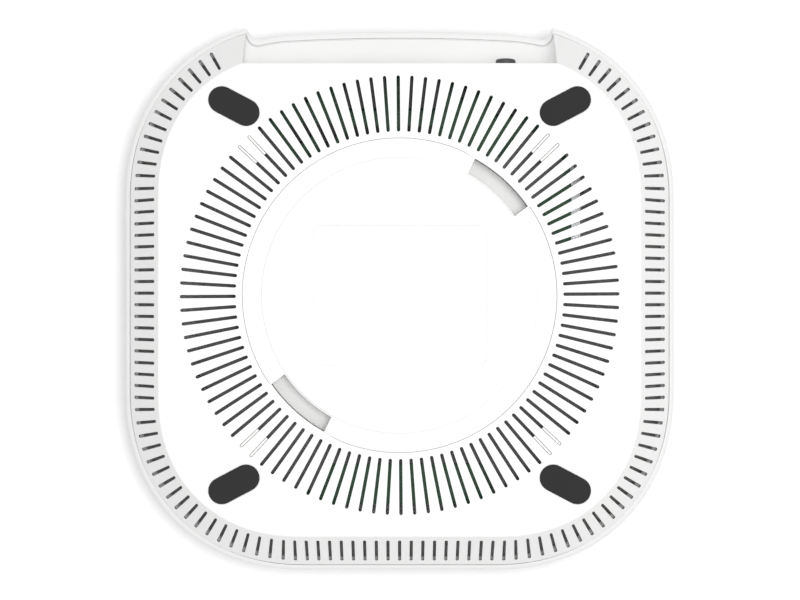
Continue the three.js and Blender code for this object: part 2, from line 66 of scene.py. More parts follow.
# Case outlines as (half width, corner size, corner power).
PLATE = (96.9, 57.4, 2.21)
SKIRT_MIDDLE = (103.2, 63.6, 2.18)
SEAM = (110.7, 71.1, 2.16)
SEAM_Z = -30.0
WALL = 2.5
SKIRT_WALL = 1.85
SLOPE_LENGTH = 33.0
PLATE_ROUND = 0.5

# Port bay.
BAY_HALF = 63.3
BAY_FILLET = 5.3
BAY_FLAT = BAY_HALF - BAY_FILLET
BAY_WALL_Y = 93.2
BAY_BEND_Z = -20.5
BAY_BEND = 5.0
BAY_FLOOR_RISE = 3.2
BAY_REACH = 105.2
BAY_ARCH_RADIUS = 850.0
BAY_DIP_FROM = 45.0
BAY_DIP = 1.17
COVER_SCOOP = 3.4
PORT_Z = -13.0
PORT_WALL = 2.2
LAN_X = (-14.0, 8.0)
DC_X = -40.0
RESET_X = 26.0
POWER_X = 43.0

# Vent ring in the ceiling face.
RING_COUNT = 100
RING_TURN = 0.37
RING_SLOT = (65.7, 88.3, 0.68)
BLIND_FROM = 78.3
BLIND_DEPTH = 1.8
BLIND_GAP = 0.34
TRACK = (55.7, 63.3)
TRACK_DEPTH = 0.5
TRACK_GROOVE = (0.28, 1.5)
TRACK_RAMP = 7.0
POCKET = (56.0, 62.6, 34.4, 61.1)
POCKET_DEPTH = 9.6
POCKET_LIP = 2.0
POCKET_UNDERCUT = 0.8
LABEL = (69.3, 55.9, 2.6)
LABEL_DEPTH = 0.3

# Skirt vents: distances walked along half of the middle outline, and where a slot ends down the slope.
SKIRT_RUNS = ((10, 4.72), (17, 5.128), (19, 4.724), (12, 5.11))
SKIRT_SLOT = (4.5, 28.1, 0.65)
SKIRT_SLOT_END = 1.3
# The hidden ledges between the shells are drawn in to this share of the outline.
LEDGE_SHARE = 0.975

FOOT = (66.5, 75.9, 21.6, 10.6, 27.8)
EDGE = 0.1


# ---- mesh building ---------------------------------------------------------------------------

class Surface:
    """Collects points and faces in millimetres and joins the ones that meet."""

    def __init__(self):
        self.bm = bmesh.new()

    def points(self, places):
        return [self.bm.verts.new(p) for p in places]

    def face(self, corners):
        if len(set(corners)) > 2:
            self.bm.faces.new(corners)

    def strip(self, a, b, closed=True):
        """Quads between two rows of equal length."""
        count = len(a)
        for i in range(count if closed else count - 1):
            j = (i + 1) % count
            self.face([a[i], a[j], b[j], b[i]])

    def grid(self, rows, closed=False):
        made = [self.points(row) for row in rows]
        for a, b in zip(made, made[1:]):
            self.strip(a, b, closed)
        return made

    def sheet(self, loops, lift):
        """Fills the area between 2-D loops; lift turns a 2-D point into a place."""
        flat = [Vector(p) for loop in loops for p in loop]
        edges = []
        start = 0
        for loop in loops:
            count = len(loop)
            edges += [(start + i, start + (i + 1) % count) for i in range(count)]
            start += count
        coords, _, triangles, _, _, _ = delaunay_2d_cdt(flat, edges, [], 1, 1e-5)
        spots = np.array([[c.x, c.y] for c in coords])
        middles = np.array([spots[list(t)].mean(axis=0) for t in triangles])
        keep = inside(middles, loops)
        made = self.points([lift(x, y, 0.0) for x, y in spots])
        for triangle, wanted in zip(triangles, keep):
            if wanted:
                self.face([made[i] for i in triangle])

    def edge_of_hole(self, loop, lift, depth, radius=EDGE, steps=3):
        """A rounded lip and a wall down from it. Returns the loop at which the surrounding sheet ends."""
        outer = grown(loop, radius)
        rings = []
        for k in range(steps + 1):
            turn = math.pi / 2 * k / steps
            share = 1 - math.sin(turn)
            down = radius * (1 - math.cos(turn))
            ring = [(p[0] + (q[0] - p[0]) * share, p[1] + (q[1] - p[1]) * share) for p, q in zip(loop, outer)]
            rings.append([lift(x, y, down) for x, y in ring])
        rings.append([lift(x, y, depth) for x, y in loop])
        self.grid(rings, closed=True)
        return outer

    def floor(self, loop, lift, depth):
        self.face(self.points([lift(x, y, depth) for x, y in loop]))

    def mirrored(self):
        """Adds the same faces on the other side of x = 0."""
        copy = bmesh.ops.duplicate(self.bm, geom=self.bm.verts[:] + self.bm.edges[:] + self.bm.faces[:])
        for item in copy["geom"]:
            if isinstance(item, bmesh.types.BMVert):
                item.co.x = -item.co.x

    def finish(self, name, slot, body="access_point", replaces=(), sharp=38.0, join=0.004):
        bmesh.ops.remove_doubles(self.bm, verts=self.bm.verts, dist=join)
        bmesh.ops.recalc_face_normals(self.bm, faces=self.bm.faces)
        bmesh.ops.scale(self.bm, vec=(MM, MM, MM), verts=self.bm.verts)
        mesh = bpy.data.meshes.new(name)
        self.bm.to_mesh(mesh)
        self.bm.free()
        mesh.shade_smooth()
        mesh.set_sharp_from_angle(angle=math.radians(sharp))
        obj = bpy.data.objects.new(name, mesh)
        bpy.context.scene.collection.objects.link(obj)
        weigh = obj.modifiers.new("even_normals", "WEIGHTED_NORMAL")
        weigh.keep_sharp = True
        mesh.materials.append(MATERIALS[slot])
        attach(obj, body)
        if replaces:
            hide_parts(*replaces)
        return obj


def inside(spots, loops):
    """Even-odd test of many spots against all loops."""
    crossings = np.zeros(len(spots), int)
    for loop in loops:
        a = np.array(loop, float)
        b = np.roll(a, -1, axis=0)
        for (ax, ay), (bx, by) in zip(a, b):
            if ay == by:
                continue
            between = (spots[:, 1] >= min(ay, by)) & (spots[:, 1] < max(ay, by))
            x = ax + (spots[:, 1] - ay) * (bx - ax) / (by - ay)
            crossings += between & (spots[:, 0] < x)
    return crossings % 2 == 1


def grown(loop, distance):
    """The loop moved outwards by a distance, whichever way round it runs."""
    p = np.array(loop, float)
    area = np.sum(p[:, 0] * np.roll(p[:, 1], -1) - np.roll(p[:, 0], -1) * p[:, 1])
    ahead = np.roll(p, -1, axis=0) - p
    ahead /= np.linalg.norm(ahead, axis=1)[:, None]
    behind = np.roll(ahead, 1, axis=0)
    normals = np.stack([ahead[:, 1] + behind[:, 1], -ahead[:, 0] - behind[:, 0]], axis=1)
    normals /= np.linalg.norm(normals, axis=1)[:, None]
    lean = np.sum(normals * np.stack([ahead[:, 1], -ahead[:, 0]], axis=1), axis=1)
    moved = p + normals * (distance * np.sign(area) / np.maximum(lean, 0.5))[:, None]
    return [tuple(q) for q in moved]


def turned(loop, degrees, x=0.0, y=0.0):
    c, s = math.cos(math.radians(degrees)), math.sin(math.radians(degrees))
    return [(px * c - py * s + x, px * s + py * c + y) for px, py in loop]


def arc(cx, cy, radius, start, end, steps):
    """Points on an arc, both ends included, angles in degrees."""
    angles = np.radians(np.linspace(start, end, steps + 1))
    return [(cx + radius * math.cos(a), cy + radius * math.sin(a)) for a in angles]


def stadium(low, high, radius, steps=6, along=1):
    """A slot along x from low to high with round ends."""
    right = arc(high - radius, 0, radius, -90, 90, steps)
    left = arc(low + radius, 0, radius, 90, 270, steps)
    upper = [(x, radius) for x in np.linspace(high - radius, low + radius, along + 1)[1:-1]]
    lower = [(x, -radius) for x in np.linspace(low + radius, high - radius, along + 1)[1:-1]]
    return right + upper + left + lower


def rounded_box(x0, y0, x1, y1, radius, steps=4):
    return (
        arc(x1 - radius, y0 + radius, radius, -90, 0, steps)
        + arc(x1 - radius, y1 - radius, radius, 0, 90, steps)
        + arc(x0 + radius, y1 - radius, radius, 90, 180, steps)
        + arc(x0 + radius, y0 + radius, radius, 180, 270, steps)
    )


# ---- case surfaces ---------------------------------------------------------------------------

def mixed(a, b, share):
    return tuple(p + (q - p) * share for p, q in zip(a, b))


def outline_point(shape, w):
    """A point of the right half of a soft square, from the middle of -Y at w = 0 to that of +Y at w = 5."""
    half, corner, power = shape
    start = half - corner
    if w < 0:
        x, y = outline_point(shape, -w)
        return -x, y
    if w <= 1:
        return start * w, -half
    if w >= 4:
        return start * (5 - w), half
    if 2 <= w <= 3:
        return half, start * (2 * w - 5)
    turn = math.pi / 2 * (w - 1 if w < 2 else w - 3)
    u = start + corner * max(0.0, math.sin(turn)) ** (2 / power)
    v = start + corner * max(0.0, math.cos(turn)) ** (2 / power)
    return (u, -v) if w < 2 else (v, u)


WALK_W = np.concatenate([np.linspace(a, a + 1, 401)[(0 if a == 0 else 1):] for a in range(5)])
_walk = np.array([outline_point(SKIRT_MIDDLE, w) for w in WALK_W])
WALK_S = np.concatenate([[0], np.cumsum(np.linalg.norm(np.diff(_walk, axis=0), axis=1))])


def station(distance):
    return math.copysign(float(np.interp(abs(distance), WALK_S, WALK_W)), distance)


def skirt_surface(w, share):
    x, y = outline_point(mixed(PLATE, SEAM, share), w)
    return np.array([x, y, SEAM_Z * share])


def skirt_lift(s, t, depth):
    """A place on the skirt: s walked round, t down the slope. Depth is the wall's, cut straight down."""
    x, y, z = skirt_surface(station(s), t / SLOPE_LENGTH)
    return (x, y, max(z - depth * SLOPE_LENGTH / (SEAM[0] - PLATE[0]), SEAM_Z + 0.02))


def skirt_at_bay(z):
    """Where the skirt meets the side of the bay at that height, as its station and its y."""
    low, high = 3.0, 4.2
    for _ in range(40):
        middle = (low + high) / 2
        if skirt_surface(middle, z / SEAM_Z)[0] > BAY_HALF:
            low = middle
        else:
            high = middle
    return low, skirt_surface(low, z / SEAM_Z)[1]


SEAM_AT_BAY = skirt_at_bay(SEAM_Z)[1]


def fillet_share(x):
    """0 along the flat of the bay floor, rising in a quarter circle to 1 at the cheek."""
    beyond = min(1.0, max(0.0, abs(x) - BAY_FLAT) / BAY_FILLET)
    return 1 - math.sqrt(1 - beyond**2)


def scoop_edge(x):
    """How far out the bay floor reaches at the seam: a shallow arch that dips before the fillets."""

    def arch(at):
        dip = max(0.0, min(abs(x), BAY_FLAT) - BAY_DIP_FROM) / (BAY_FLAT - BAY_DIP_FROM)
        return BAY_REACH - at**2 / (2 * BAY_ARCH_RADIUS) - BAY_DIP * dip**2

    return arch(x) + (SEAM_AT_BAY - arch(BAY_HALF)) * fillet_share(x)


def bay_y(x, z):
    """The bay's face as a height over the x-z plane: flat wall, bend, sloping floor, fillets at both ends."""

    def rise(d):
        d = max(0.0, d)
        return d * d / (2 * BAY_BEND) if d < BAY_BEND else d - BAY_BEND / 2

    bend_z = BAY_BEND_Z + BAY_FLOOR_RISE * fillet_share(x)
    return BAY_WALL_Y + (scoop_edge(x) - BAY_WALL_Y) * rise(bend_z - z) / rise(bend_z - SEAM_Z)


def skirt_distances():
    distances = [0.0]
    for count, pitch in SKIRT_RUNS:
        for _ in range(count):
            distances.append(distances[-1] + pitch)
    return distances


def bend(a, corner, b, steps=3):
    """A soft turn from a to b round a corner."""
    a, corner, b = np.array(a), np.array(corner), np.array(b)
    rows = []
    for k in range(steps + 1):
        t = k / steps
        rows.append(tuple(a * (1 - t) ** 2 + corner * 2 * t * (1 - t) + b * t * t))
    return rows


# ---- rear housing ----------------------------------------------------------------------------

SLOT_DISTANCES = skirt_distances()
CELL_EDGES = [(a + b) / 2 for a, b in zip(SLOT_DISTANCES, SLOT_DISTANCES[1:])]
CELL_EDGES = [-CELL_EDGES[0]] + CELL_EDGES + [SLOT_DISTANCES[-1] + SKIRT_RUNS[-1][1] / 2]
SKIRT_TOP = SLOPE_LENGTH * PLATE_ROUND / -SEAM_Z
SKIRT_END = SLOPE_LENGTH * (1 - 0.25 / -SEAM_Z)
SIDE_STEPS = 8
ARC_STEPS = 6


def slot_rows():
    """The levels down the slope at which the slot cells have points."""
    start, end, _ = SKIRT_SLOT
    return np.linspace(start + SKIRT_SLOT_END, end - SKIRT_SLOT_END, SIDE_STEPS + 1)


def add_skirt_cell(surface, low, high, middle):
    """One slot with its share of the skirt round it."""
    start, end, radius = SKIRT_SLOT
    rows = slot_rows()

    def round_end(level, first, last):
        return [
            (middle + x * radius, level + y * SKIRT_SLOT_END)
            for x, y in arc(0, 0, 1.0, first, last, ARC_STEPS)[1:-1]
        ]

    hole = [(middle + radius, t) for t in rows] + round_end(rows[-1], 0, 180)
    hole += [(middle - radius, t) for t in rows[::-1]] + round_end(rows[0], 180, 360)

    def cap(level, first, last):
        near = rows[-1] if first == high else rows[0]
        half_way = (near + level) / 2
        return [(first, half_way), (first, level), (middle, level), (last, level), (last, half_way)]

    border = [(high, t) for t in rows] + cap(SKIRT_END, high, low)
    border += [(low, t) for t in rows[::-1]] + cap(SKIRT_TOP, low, high)
    lip = surface.edge_of_hole(hole, skirt_lift, SKIRT_WALL)
    outside = surface.points([skirt_lift(s, t, 0) for s, t in border])
    surface.strip(surface.points([skirt_lift(s, t, 0) for s, t in lip]), outside)
    inner_hole = surface.points([skirt_lift(s, t, SKIRT_WALL) for s, t in hole])
    surface.strip(inner_hole, surface.points([skirt_lift(s, t, SKIRT_WALL) for s, t in border]))


def cell_levels():
    rows = list(slot_rows())
    return (
        [SKIRT_TOP, (rows[0] + SKIRT_TOP) / 2] + rows + [(rows[-1] + SKIRT_END) / 2, SKIRT_END]
    )


def add_skirt(surface):
    """The right half of the skirt; the left is its mirror image."""
    for low, high, middle in zip(CELL_EDGES, CELL_EDGES[1:], SLOT_DISTANCES):
        add_skirt_cell(surface, low, high, middle)
    last = station(CELL_EDGES[-1])
    rows = []
    for t in cell_levels():
        share = t / SLOPE_LENGTH
        end = skirt_at_bay(share * SEAM_Z)[0]
        rows.append([tuple(skirt_surface(w, share)) for w in np.linspace(last, end, 7)])
    surface.grid(rows)


def skirt_columns():
    """Stations along the skirt's upper and lower edges, from the middle of -Y to the bay."""
    places = []
    for low, high, middle in zip(CELL_EDGES, CELL_EDGES[1:], SLOT_DISTANCES):
        places += [max(low, 0.0), middle]
    places = sorted(set(places + [CELL_EDGES[-1]]))
    return [station(s) for s in places]


def edge_row(top):
    """Stations along one edge of the skirt with the last stretch up to the bay."""
    end = skirt_at_bay(-PLATE_ROUND if top else SEAM_Z * SKIRT_END / SLOPE_LENGTH)[0]
    walked = skirt_columns()
    return walked + list(np.linspace(walked[-1], end, 7)[1:])


def inward(shape, w, distance):
    """A point of an outline moved towards the inside."""
    e = 1e-3
    (ax, ay), (bx, by) = outline_point(shape, w - e), outline_point(shape, w + e)
    length = math.hypot(bx - ax, by - ay)
    x, y = outline_point(shape, w)
    return x - (by - ay) / length * distance, y + (bx - ax) / length * distance


BAY_X = sorted(set(np.round(np.linspace(-BAY_FLAT, BAY_FLAT, 93), 3)))
FILLET_X = [BAY_FLAT + BAY_FILLET * math.sin(math.pi / 2 * k / 9) for k in range(1, 10)]
BAY_LEVELS = [-PLATE_ROUND, -3, -5.5, -8, -10.5, -13, -15.5, -17.3, -18.4, -19.5, BAY_BEND_Z]
BAY_LOWER = list(np.linspace(BAY_BEND_Z, SEAM_Z * SKIRT_END / SLOPE_LENGTH, 17))


def bay_columns():
    return [-x for x in FILLET_X[::-1]] + BAY_X + FILLET_X


def bay_point(x, z):
    if z == BAY_LOWER[-1] and abs(x) == BAY_HALF:
        return (x, skirt_at_bay(z)[1], z)
    return (x, bay_y(x, z), z)


def bay_lift(x, z, depth):
    return (x, BAY_WALL_Y - depth, z)


def port_loops():
    """The holes in the bay wall as loops in x and z."""
    loops = []
    for x in LAN_X:
        loops.append(rounded_box(x - 8.3, PORT_Z - 6.6, x + 8.3, PORT_Z + 6.6, 0.5))
    loops.append(rounded_box(DC_X - 4.7, PORT_Z - 6.6, DC_X + 4.7, PORT_Z + 5.7, 0.5))
    loops.append(arc(RESET_X, PORT_Z, 1.4, 0, 360, 24)[:-1])
    loops.append(arc(POWER_X, PORT_Z, 4.3, 0, 360, 48)[:-1])
    return loops


def add_bay(surface):
    lips = [surface.edge_of_hole(loop, bay_lift, PORT_WALL, 0.25) for loop in port_loops()]
    top = [(x, BAY_LEVELS[0]) for x in BAY_X]
    right = [(BAY_FLAT, z) for z in BAY_LEVELS[1:-1]]
    bottom = [(x, BAY_BEND_Z) for x in BAY_X[::-1]]
    left = [(-BAY_FLAT, z) for z in BAY_LEVELS[-2:0:-1]]
    surface.sheet([top + right + bottom + left] + lips, bay_lift)
    surface.grid([[bay_point(x, z) for x in bay_columns()] for z in BAY_LOWER])
    top = BAY_LEVELS[0]
    for side in (1, -1):
        columns = [side * x for x in [BAY_FLAT] + FILLET_X]
        surface.grid([[bay_point(x, z) for x in columns] for z in BAY_LEVELS])
        cheek = [
            [bay_point(side * BAY_HALF, z), (side * BAY_HALF, skirt_at_bay(z)[1], z)]
            for z in BAY_LEVELS + BAY_LOWER[1:]
        ]
        surface.grid(cheek)
        surface.face(surface.points([*cheek[0], bay_point(columns[-2], top)]))


def plate_edge():
    """The rounded edge of the ceiling face, as rows from the sides up to the flat of the plate."""
    right = []
    for w in edge_row(top=True):
        side = tuple(skirt_surface(w, PLATE_ROUND / -SEAM_Z))
        corner = (*outline_point(PLATE, w), 0.0)
        flat = (*inward(PLATE, w, PLATE_ROUND), 0.0)
        right.append(bend(side, corner, flat))
    bay = []
    for x in bay_columns()[::-1]:
        y = bay_y(x, 0.0)
        bay.append(bend(bay_point(x, -PLATE_ROUND), (x, y, 0.0), (x, y - PLATE_ROUND, 0.0)))
    bay[0] = right[-1]
    left = [[(-x, y, z) for x, y, z in column] for column in right[:0:-1]]
    bay[-1] = left[0]
    around = right + bay[1:-1] + left
    return [list(row) for row in zip(*around)]


def ring_slot(index):
    low, high, radius = RING_SLOT
    return turned(stadium(low, high, radius, 6), 360 * index / RING_COUNT + RING_TURN)


def over_boss(index):
    return abs((360 * index / RING_COUNT) % 90 - 45) < 2


def plate_lift(x, y, depth):
    return (x, y, -depth)


def foot_loop(sx, sy, radius_change=0.0):
    x, y, length, width, turn = FOOT
    radius = width / 2 + radius_change
    reach = (length - width) / 2 + radius
    return turned(stadium(-reach, reach, radius, 14), sx * sy * turn, sx * x, sy * y)


def pocket_loop(turn):
    """A bayonet pocket: a piece of a ring with softened corners."""
    inner, outer, start, end = POCKET
    soft = 0.35
    loop = []
    for radius, a, b, way in ((outer, start, end, 1), (inner, end, start, -1)):
        ease = math.degrees(soft / radius) * way
        loop += arc(0, 0, radius, a + ease, b - ease, 18)
        middle = radius - way * soft
        cx, cy = middle * math.cos(math.radians(b - ease)), middle * math.sin(math.radians(b - ease))
        base = b if way > 0 else b + 180
        loop += arc(cx, cy, soft, base, base + 90, 4)[1:-1]
    return turned(loop, turn)


def label_loop(margin):
    width, height, radius = LABEL
    x, y = width / 2 + margin, height / 2 + margin
    loop = rounded_box(-x, -y, x, y, radius + margin, 6)
    notch = [(-1.2 - margin, -y), (0.0, -y + 1.2 + margin), (1.2 + margin, -y)]
    return loop + notch


def add_plate(surface):
    edge = plate_edge()
    surface.grid(edge, closed=True)
    outer = [(x, y) for x, y, _ in edge[-1]]
    holes = [surface.edge_of_hole(ring_slot(i), plate_lift, WALL) for i in range(RING_COUNT)]
    for sx, sy in ((1, 1), (-1, 1), (-1, -1), (1, -1)):
        loop = foot_loop(sx, sy, 0.14)
        holes.append(surface.edge_of_hole(loop, plate_lift, 1.2))
        surface.floor(loop, plate_lift, 1.2)
    track_outer = track_loop()
    holes.append(surface.edge_of_hole(track_outer, plate_lift, TRACK_GROOVE[1], 0.08))
    surface.sheet([outer] + holes, plate_lift)
    through = [ring_slot(i) for i in range(RING_COUNT)]
    through += [grown(pocket_loop(turn), POCKET_UNDERCUT) for turn in (0, 180)]
    surface.sheet([outer] + through, lambda x, y, d: (x, y, -WALL))
    add_blind_floors(surface)
    add_track(surface, track_outer)


def add_blind_floors(surface):
    """The outer ends of the slots over the bosses are filled by the boss tops, with a fine gap all round."""
    _, high, radius = RING_SLOT
    for i in range(RING_COUNT):
        if over_boss(i):
            turn = 360 * i / RING_COUNT + RING_TURN
            outline = arc(high - radius, 0, radius, -90, 90, 6)
            outline += [(BLIND_FROM, radius), (BLIND_FROM, -radius)]
            loop = turned(outline, turn)
            surface.floor(loop, plate_lift, BLIND_DEPTH)
            below = [plate_lift(x, y, WALL) for x, y in loop[-2:]]
            ends = [plate_lift(x, y, BLIND_DEPTH) for x, y in loop[-2:]]
            surface.face(surface.points([ends[0], ends[1], below[1], below[0]]))
            fill = arc(high - radius, 0, radius - BLIND_GAP, -90, 90, 6)
            fill += [(BLIND_FROM, radius - BLIND_GAP), (BLIND_FROM, BLIND_GAP - radius)]
            fill = turned(fill, turn)
            surface.grid([[plate_lift(x, y, d) for x, y in fill] for d in (BLIND_DEPTH, 0.05)], closed=True)
            surface.floor(fill, plate_lift, 0.05)


def track_loop(inset=0.0):
    """The outer edge of the bayonet track: a circle that draws in along each pocket."""
    _, close, start, end = POCKET
    wide = TRACK[1]
    beside = close + 0.14
    loop = []
    steps = np.concatenate([np.arange(0, 180, 1.0), [start - 0.35, start - 0.1]])
    for angle in np.sort(np.concatenate([steps, steps + 180])):
        past = angle % 180
        away = 1.0 if past < start - 0.2 else min(1.0, max(0.0, past - end) / TRACK_RAMP)
        radius = beside + (wide - beside) * away - inset * max(away, 0.1)
        turn = math.radians(angle)
        loop.append((radius * math.cos(turn), radius * math.sin(turn)))
    return loop


def add_pocket(surface, loop, sunk):
    """A pocket whose outer side is open under a lip, for the bracket's tab."""
    depth = POCKET_DEPTH - TRACK_DEPTH
    lip = surface.edge_of_hole(loop, sunk, POCKET_LIP - TRACK_DEPTH, 0.08)
    count = len(loop)
    middle = (POCKET[0] + POCKET[1]) / 2
    for i in range(count):
        j = (i + 1) % count
        if min(math.hypot(*loop[i]), math.hypot(*loop[j])) > middle + 1.5:
            continue
        upper = [sunk(*loop[k], POCKET_LIP - TRACK_DEPTH) for k in (i, j)]
        lower = [sunk(*loop[k], depth) for k in (j, i)]
        surface.face(surface.points(upper + lower))
    surface.floor(grown(loop, 0.1), sunk, depth)
    return lip


def add_track(surface, track_outer):
    def sunk(x, y, depth):
        return (x, y, -TRACK_DEPTH - depth)

    pockets = [add_pocket(surface, pocket_loop(turn), sunk) for turn in (0, 180)]
    width, depth = TRACK_GROOVE
    groove = [
        [plate_lift(x, y, depth) for x, y in track_outer],
        [plate_lift(x, y, depth) for x, y in track_loop(width)],
        [plate_lift(x, y, TRACK_DEPTH) for x, y in track_loop(width)],
    ]
    surface.grid(groove, closed=True)
    foot = arc(0, 0, TRACK[0], 0, 360, 180)[:-1]
    top = arc(0, 0, TRACK[0] - 0.5, 0, 360, 180)[:-1]
    surface.sheet([track_loop(width), foot] + pockets, sunk)
    surface.grid(
        [[sunk(x, y, 0) for x, y in foot], [plate_lift(x, y, 0) for x, y in top]], closed=True
    )
    bed = label_loop(0.12)
    lip = surface.edge_of_hole(bed, plate_lift, LABEL_DEPTH, 0.08)
    surface.sheet([top, lip], plate_lift)
    surface.floor(bed, plate_lift, LABEL_DEPTH)


def ledge(x, y):
    """A place on the underside, further in under the wall. Beside the bay it stays behind the cheek."""
    if y < BAY_WALL_Y:
        return (x * LEDGE_SHARE, y * LEDGE_SHARE, SEAM_Z)
    if abs(x) < BAY_HALF:
        return (x + math.copysign(0.6, x) * fillet_share(x), y - 2.4, SEAM_Z)
    return (math.copysign(max(abs(x) * LEDGE_SHARE, BAY_HALF + 0.6), x), y * LEDGE_SHARE, SEAM_Z)


def add_lower_edge(surface):
    """The rounded rim at the seam and the underside that faces the cover."""
    end = SKIRT_END / SLOPE_LENGTH

    def column(side, foot, inner):
        return bend(side, foot, inner, 2)

    right = []
    for w in edge_row(top=False):
        x, y = inward(SEAM, w, 0.25)
        right.append(column(tuple(skirt_surface(w, end)), tuple(skirt_surface(w, 1.0)), (x, y, SEAM_Z)))
    bay = []
    for x in bay_columns()[::-1]:
        y = bay_y(x, SEAM_Z)
        bay.append(column(bay_point(x, SEAM_Z * end), (x, y, SEAM_Z), (x, y - 0.25, SEAM_Z)))
    bay[0] = right[-1]
    left = [[(-x, y, z) for x, y, z in c] for c in right[:0:-1]]
    bay[-1] = left[0]
    around = right + bay[1:-1] + left
    rows = [list(row) for row in zip(*around)]
    shrunk = [ledge(x, y) for x, y, _ in rows[-1]]
    surface.grid(rows + [shrunk], closed=True)


def make_housing():
    half = Surface()
    add_skirt(half)
    half.mirrored()
    add_bay(half)
    add_plate(half)
    add_lower_edge(half)
    return half.finish("rear_housing_fine", "white_shell", replaces=["rear_housing"])


# ---- front cover -----------------------------------------------------------------------------

COVER_TOP = -30.3
WIDEST = 113.0
WIDEST_Z = -34.4
FACE_Z = -52.0
FACE_HALF = 60.0
COVER_POWER = 2.14
CORNER_SHARE = 0.646
ROOM_EDGE_POWER = 2.4
LENS_AT = (0.0, 62.0)
COVER_WALL = 2.3
COVER_LIFT = 1.2
COVER_GROOVE = 0.95
# Rings narrower than this are drawn in towards the middle, where the bay no longer shapes them.
COVER_FULL = 108.0
# The cover's furthest place in +Y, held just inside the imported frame's box.
COVER_TIP = cad_box[1][1] / MM - 0.01
BESIDE_BAY = [BAY_HALF + d for d in (3.5, 2.6, 1.9, 1.3, 0.8, 0.4, 0.15)]


def cover_profile():
    """The cover from the seam round the side to the room face: half width, height, and how far outside
    the edge of the bay floor it may reach behind the port bay."""
    groove = COVER_TOP - COVER_GROOVE
    rows = [
        (110.2, groove, -0.4),
        (110.88, groove, 0.52),
        (110.9, COVER_TOP - 0.32, 0.55),
        (110.97, COVER_TOP - 0.16, 0.62),
        (111.15, COVER_TOP - 0.1, 0.8),
    ]
    start, top, reach = rows[-1]
    for z in np.linspace(top, WIDEST_Z, 9)[1:]:
        share = ((z - WIDEST_Z) / (top - WIDEST_Z)) ** 2
        rows.append((WIDEST - (WIDEST - start) * share, z, COVER_SCOOP - (COVER_SCOOP - reach) * share))
    for turn in np.linspace(0, math.pi / 2, 29)[1:]:
        across = math.cos(turn) ** (2 / ROOM_EDGE_POWER)
        down = math.sin(turn) ** (2 / ROOM_EDGE_POWER)
        half = FACE_HALF + (WIDEST - FACE_HALF) * across
        rows.append((half, WIDEST_Z + (FACE_Z - WIDEST_Z) * down, COVER_SCOOP))
    return rows


def scooped(x, y, reach):
    """Pulls the cover in behind the port bay, as the seam is."""
    at = min(abs(x), BAY_HALF)
    steep = min(4.0, (scoop_edge(at) - scoop_edge(at - 0.02)) / 0.02)
    square = min(abs(reach), 0.8) * (math.hypot(1, steep) - 1)
    limit = scoop_edge(at) + reach + math.copysign(square, reach) + max(0.0, abs(x) - BAY_HALF) * 4
    soft = 0.03 if reach < 1 else 0.2
    over = (y - limit) / soft
    pulled = y - soft * (math.log1p(math.exp(over)) if over < 30 else over)
    return min(pulled, COVER_TIP)


def outline_y(shape, x):
    """How far an outline reaches towards the bay at that x."""
    half, corner, power = shape
    share = max(0.0, abs(x) - half + corner) / corner
    return half - corner + corner * (1 - share**power) ** (1 / power)


def cover_ring(half, z, reach):
    """Walked round from the middle of -Y, then straight across behind the bay at the bay's own columns."""
    shape = (half, half * CORNER_SHARE, COVER_POWER)
    spread = min(1.0, half / COVER_FULL)
    low, high = 3.0, 4.0
    for _ in range(40):
        middle = (low + high) / 2
        if outline_point(shape, middle)[0] > BESIDE_BAY[0] * spread:
            low = middle
        else:
            high = middle
    walked = [*np.linspace(0, 1, 9)[:-1], *np.linspace(1, 2, 33)[:-1], *np.linspace(2, 3, 15)[:-1]]
    walked += list(np.linspace(3, low, 24)[:-1])
    right = [outline_point(shape, w) for w in walked]
    for x in BESIDE_BAY + bay_columns()[::-1][: len(bay_columns()) // 2 + 1]:
        x *= spread
        right.append((x, scooped(x, outline_y(shape, x), reach)))
    left = [(-x, y) for x, y in right[-2:0:-1]]
    return [(x, y, z) for x, y in right + left]


def make_cover():
    surface = Surface()
    profile = cover_profile()
    rows = [cover_ring(*row) for row in profile]
    first = [(x * LEDGE_SHARE, y * LEDGE_SHARE, z) for x, y, z in rows[0]]
    inner = [
        cover_ring(half - COVER_WALL, z + COVER_LIFT, reach - COVER_WALL) for half, z, reach in profile[8:-6:2]
    ]
    made = surface.grid([row for row in inner[::-1]] + [first] + rows, closed=True)
    lens = arc(*LENS_AT, 2.2, 0, 360, 48)[:-1]

    def face_lift(x, y, depth):
        return (x, y, FACE_Z + depth)

    lip = surface.edge_of_hole(lens, face_lift, 2.0, 0.15)
    surface.sheet([[(v.co.x, v.co.y) for v in made[-1]], lip], face_lift)
    return surface.finish("front_cover_fine", "white_shell", replaces=["front_cover"])


# ---- small pieces ----------------------------------------------------------------------------

def make_domed(name, loop, bottom, top, slot, rounding, crown=0.0, body="access_point", replaces=()):
    """A flat piece with a rounded upper edge and a slightly crowned top."""
    surface = Surface()
    rows = [[(x, y, bottom) for x, y in loop]]
    for k in range(6):
        turn = math.pi / 2 * k / 5
        inset = rounding * (1 - math.cos(turn))
        z = top - crown - rounding * (1 - math.sin(turn))
        rows.append([(x, y, z) for x, y in grown(loop, -inset)])
    rim = np.array([p[:2] for p in rows[-1]])
    middle = rim.mean(axis=0)
    for share in (0.75, 0.5, 0.25) if crown else ():
        z = top - crown * share**2
        rows.append([(*(middle + (p - middle) * share), z) for p in rim])
    made = surface.grid(rows, closed=True)
    if crown:
        surface.face(made[-1])
    else:
        surface.sheet([[tuple(p) for p in rim]], lambda x, y, d: (x, y, top))
    return surface.finish(name, slot, body, replaces)


